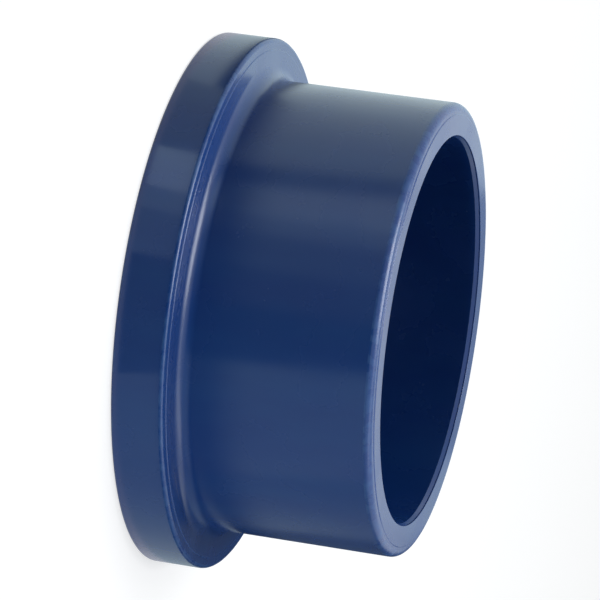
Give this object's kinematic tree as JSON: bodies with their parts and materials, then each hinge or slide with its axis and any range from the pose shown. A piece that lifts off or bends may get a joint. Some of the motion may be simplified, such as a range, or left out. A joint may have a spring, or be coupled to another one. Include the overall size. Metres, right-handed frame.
{
  "type": "pvc stub flange",
  "caption": "Moulded plastic stub flange: a cemented pipe socket with a flange that a loose backing ring pulls against a gasket.",
  "frame": {"origin": "middle of the sealing face, on the axis", "axes": "+Z along the axis from the sealing face to the socket mouth; X and Y lie in the sealing face, and the fitting is the same all round"},
  "size_m": [0.125, 0.125, 0.0572],
  "materials": {
    "stub_flange": "semi-gloss, as moulded"
  },
  "bodies": {
    "root": {"stub_flange": "stub_flange"}
  },
  "joints": []
}
